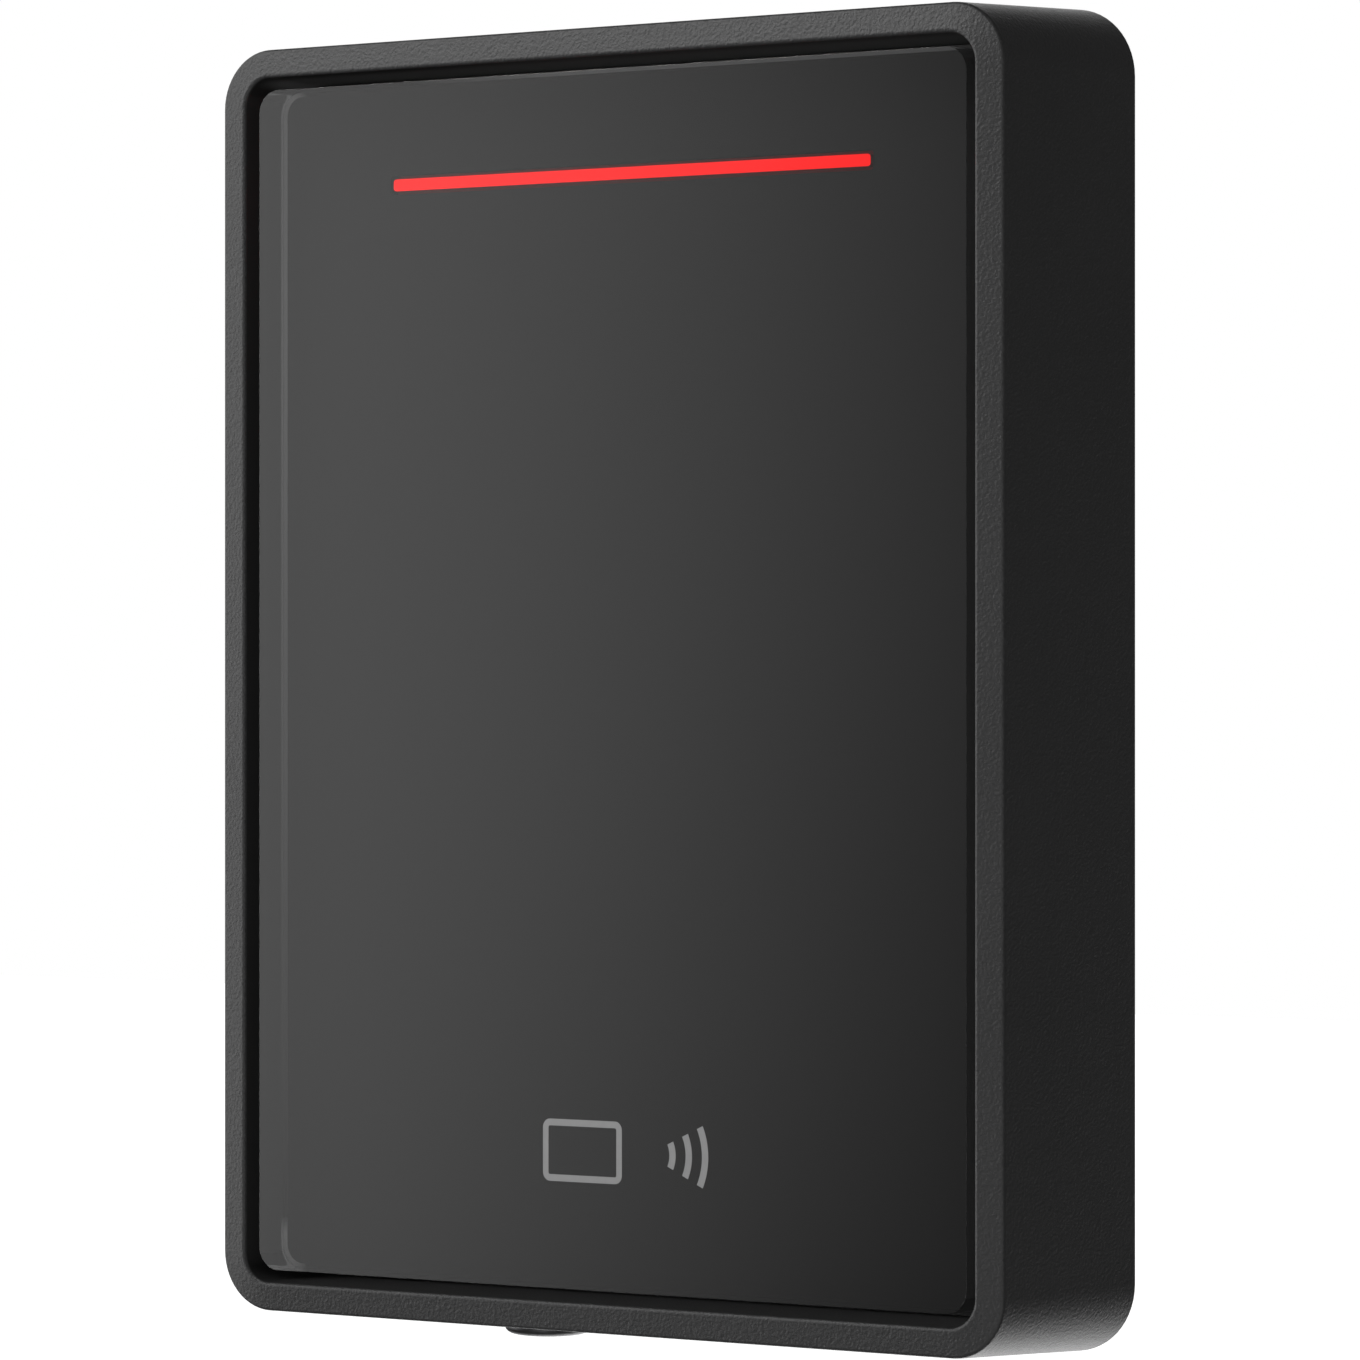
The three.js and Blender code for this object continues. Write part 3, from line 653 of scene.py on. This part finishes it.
def make_screw():
    prof = [(0, -61.2), (2.0, -61.2), (2.6, -61.17), (3.15, -61.1), (3.55, -60.99), (3.83, -60.84), (4.0, -60.66),
            (4.08, -60.48), (4.1, -60.3), (4.1, -59.2), (4.05, -59.1), (1.35, -59.1), (1.35, -51.2), (1.0, -50.8), (0, -50.8)]
    n = 64
    bm = bmesh.new()
    rows = []
    for r, z in prof:
        if r == 0:
            rows.append([bm.verts.new(Vector((LOCK[0], LOCK[1], z)) * MM)])
        else:
            rows.append([bm.verts.new(Vector((LOCK[0] + r * math.cos(2 * math.pi * k / n), LOCK[1] + r * math.sin(2 * math.pi * k / n), z)) * MM) for k in range(n)])
    for a, b in zip(rows, rows[1:]):
        for i in range(n):
            j = (i + 1) % n
            if len(a) == 1:
                bm.faces.new((a[0], b[j], b[i]))
            elif len(b) == 1:
                bm.faces.new((a[i], a[j], b[0]))
            else:
                bm.faces.new((a[i], a[j], b[j], b[i]))
    bmesh.ops.recalc_face_normals(bm, faces=bm.faces)
    ob = to_object(bm, "security_screw", M["blacksteel"])
    # six-lobed socket
    bm = bmesh.new()
    pts = []
    for k in range(48):
        a = 2 * math.pi * k / 48
        r = 1.35 + 0.22 * math.cos(6 * a)
        pts.append((LOCK[0] + r * math.cos(a), LOCK[1] + r * math.sin(a)))
    rws = [[bm.verts.new(Vector((x, y, z)) * MM) for x, y in pts] for z in (-62.5, -60.2)]
    for i in range(48):
        j = (i + 1) % 48
        bm.faces.new((rws[0][i], rws[0][j], rws[1][j], rws[1][i]))
    bm.faces.new(rws[0])
    bm.faces.new(rws[1])
    bmesh.ops.recalc_face_normals(bm, faces=bm.faces)
    apply_booleans(ob, [("DIFFERENCE", tool(bm))], 35)
    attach(ob, "lock_screw")
    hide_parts("locking_screw")
    return ob


make_screw()


# --------------------------------------------------------------------- camera

cam_data = bpy.data.cameras.new("camera")
cam = bpy.data.objects.new("camera", cam_data)
scene.collection.objects.link(cam)
theta = math.radians(35.5)
cam.location = (0.35521, -0.50724, 0.00002)
cam.rotation_mode = "QUATERNION"
cam.rotation_quaternion = Vector((-math.sin(theta), math.cos(theta), 0)).to_track_quat("-Z", "Y")
cam_data.sensor_width = 36.0
cam_data.lens = 6662 / 1360 * 36.0
cam_data.clip_start, cam_data.clip_end = 0.01, 50
scene.camera = cam


# --------------------------------------------------------------------- lights


def area(name, loc, target, size, power, size_y=None, spread=180, colour=(1, 1, 1)):
    d = bpy.data.lights.new(name, "AREA")
    d.energy = power
    d.color = colour
    d.shape = "RECTANGLE"
    d.size = size
    d.size_y = size_y or size
    d.spread = math.radians(spread)
    o = bpy.data.objects.new(name, d)
    scene.collection.objects.link(o)
    o.location = loc
    o.rotation_mode = "QUATERNION"
    o.rotation_quaternion = (Vector(target) - Vector(loc)).to_track_quat("-Z", "Y")
    return o


area("key_top_left", (-0.20, -0.26, 0.26), (-0.01, -0.02, 0.0), 0.16, 0.60)

world = bpy.data.worlds.new("studio")
scene.world = world
world.use_nodes = True
nt = world.node_tree
nt.nodes.clear()
wout = add(nt, "ShaderNodeOutputWorld")
tc = add(nt, "ShaderNodeTexCoord")
d_vec = tc.outputs["Generated"]


def lobe(direction, inner_deg, outer_deg, value):
    """A soft round light far away: full inside inner_deg of its direction and nothing past outer_deg."""
    v = Vector(direction).normalized()
    dp = add(nt, "ShaderNodeVectorMath")
    dp.operation = "DOT_PRODUCT"
    nt.links.new(d_vec, dp.inputs[0])
    dp.inputs[1].default_value = v
    ang = math_node(nt, "ARCCOSINE", dp.outputs["Value"])
    return remap(nt, ang, math.radians(inner_deg), math.radians(outer_deg), value, 0.0, True)


def direction(azimuth, elevation):
    a, e = math.radians(azimuth), math.radians(elevation)
    return (math.sin(a) * math.cos(e), -math.cos(a) * math.cos(e), math.sin(e))


total = None
for term in (
    lobe(direction(-62, 4), 22, 32, 1.6),
    lobe(direction(-78, 4), 10, 34, 0.7),
    lobe(direction(-34, 36), 8, 24, 0.9),
    lobe(direction(22, -14), 5, 40, 1.1),
    lobe(direction(20, -50), 5, 40, 0.5),
    lobe(direction(90, 8), 4, 26, 0.4),
    lobe((-0.25, 0.8, -0.55), 5, 44, 3.2),
    lobe((-0.50, 0.82, 0.22), 4, 26, 2.4),
):
    total = term if total is None else math_node(nt, "ADD", total, term)
total = math_node(nt, "ADD", total, 0.135)
studio = add(nt, "ShaderNodeBackground")
nt.links.new(total, studio.inputs["Strength"])
studio.inputs["Color"].default_value = (1, 1, 1, 1)
white = add(nt, "ShaderNodeBackground")
white.inputs["Color"].default_value = (1, 1, 1, 1)
white.inputs["Strength"].default_value = 1.0
lp = add(nt, "ShaderNodeLightPath")
mixer = add(nt, "ShaderNodeMixShader")
nt.links.new(lp.outputs["Is Camera Ray"], mixer.inputs[0])
nt.links.new(studio.outputs[0], mixer.inputs[1])
nt.links.new(white.outputs[0], mixer.inputs[2])
nt.links.new(mixer.outputs[0], wout.inputs["Surface"])

# plain pale floor, well under the reader, which hangs on a wall that isn't shown; low enough to look at the reader from below
bm = bmesh.new()
for x, y in ((-25, -25), (25, -25), (25, 25), (-25, 25)):
    bm.verts.new((x, y, -1.5))
bm.faces.new(bm.verts)
floor = to_object(bm, "floor", None, 0)
fm, fnt, fo = new_material("floor_white")
fb = add(fnt, "ShaderNodeBsdfDiffuse")
fb.inputs["Color"].default_value = (0.9, 0.9, 0.9, 1)
fe = add(fnt, "ShaderNodeEmission")
fe.inputs["Color"].default_value = (1, 1, 1, 1)
fe.inputs["Strength"].default_value = 0.9
fa = add(fnt, "ShaderNodeAddShader")
fnt.links.new(fb.outputs[0], fa.inputs[0])
fnt.links.new(fe.outputs[0], fa.inputs[1])
fnt.links.new(fa.outputs[0], fo.inputs["Surface"])
floor.data.materials.append(fm)
floor.visible_diffuse = False
floor.visible_glossy = False
floor.visible_transmission = False
